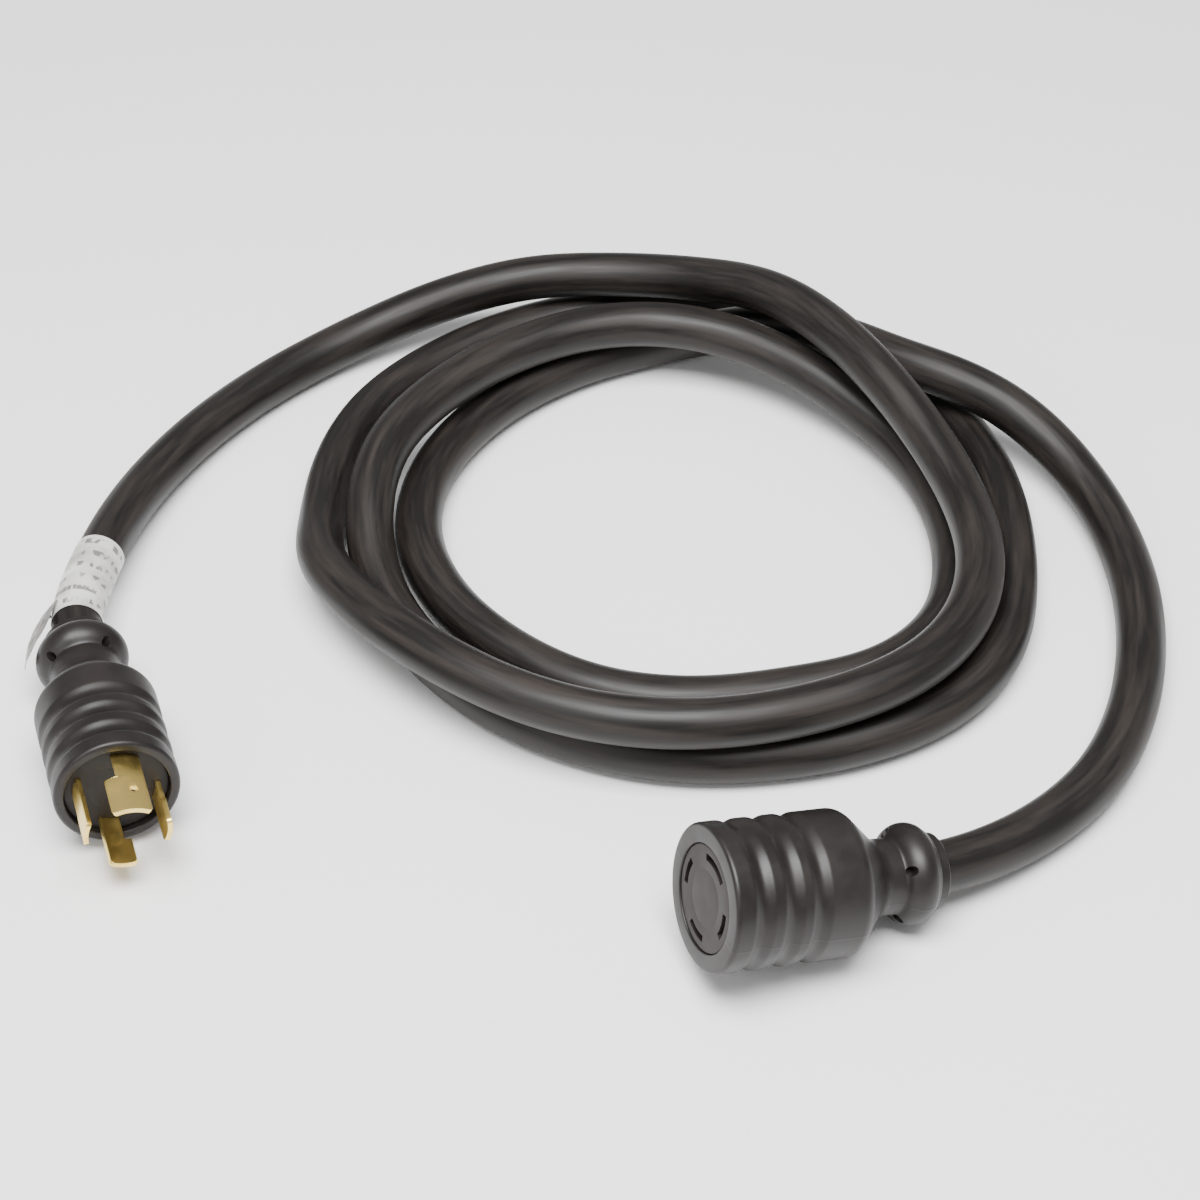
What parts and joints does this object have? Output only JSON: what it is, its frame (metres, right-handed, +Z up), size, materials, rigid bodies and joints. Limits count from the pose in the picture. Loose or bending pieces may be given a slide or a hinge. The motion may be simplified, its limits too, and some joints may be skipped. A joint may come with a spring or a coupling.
{
  "type": "shore_power_cord",
  "caption": "Heavy black four-wire locking shore power cord with ribbed moulded ends, lying in a loose coil.",
  "frame": {"origin": "on the resting surface, midway between the outermost extents of the plug and the connector", "axes": "+X from the plug side to the connector side, the longest extent; +Y away from the two open faces towards the far side of the coil; +Z up from the resting surface"},
  "size_m": [0.4083, 0.3876, 0.0576],
  "materials": {
    "jacket": "satin",
    "label": "satin",
    "body": "matte",
    "core": "matte",
    "plug_face": "matte",
    "connector_face": "matte",
    "blade": "polished",
    "contact": "satin",
    "crimp": "satin",
    "wire_green": "gloss",
    "wire_black": "gloss",
    "wire_white": "gloss",
    "wire_red": "gloss"
  },
  "bodies": {
    "root": {"cable": "jacket", "cable_label": "label", "plug_overmould": "body", "plug_core": "core", "plug_bridge": "plug_face", "plug_blade_earth": "blade", "plug_blade_x": "blade", "plug_blade_neutral": "blade", "plug_blade_y": "blade", "plug_crimp_barrels": "crimp", "plug_wire_green": "wire_green", "plug_wire_black": "wire_black", "plug_wire_white": "wire_white", "plug_wire_red": "wire_red", "plug_cable_end": "jacket", "connector_overmould": "body", "connector_core": "core", "connector_bridge": "connector_face", "connector_contact_earth": "contact", "connector_contact_x": "contact", "connector_contact_neutral": "contact", "connector_contact_y": "contact", "connector_crimp_barrels": "crimp", "connector_wire_green": "wire_green", "connector_wire_black": "wire_black", "connector_wire_white": "wire_white", "connector_wire_red": "wire_red", "connector_cable_end": "jacket"}
  },
  "joints": []
}
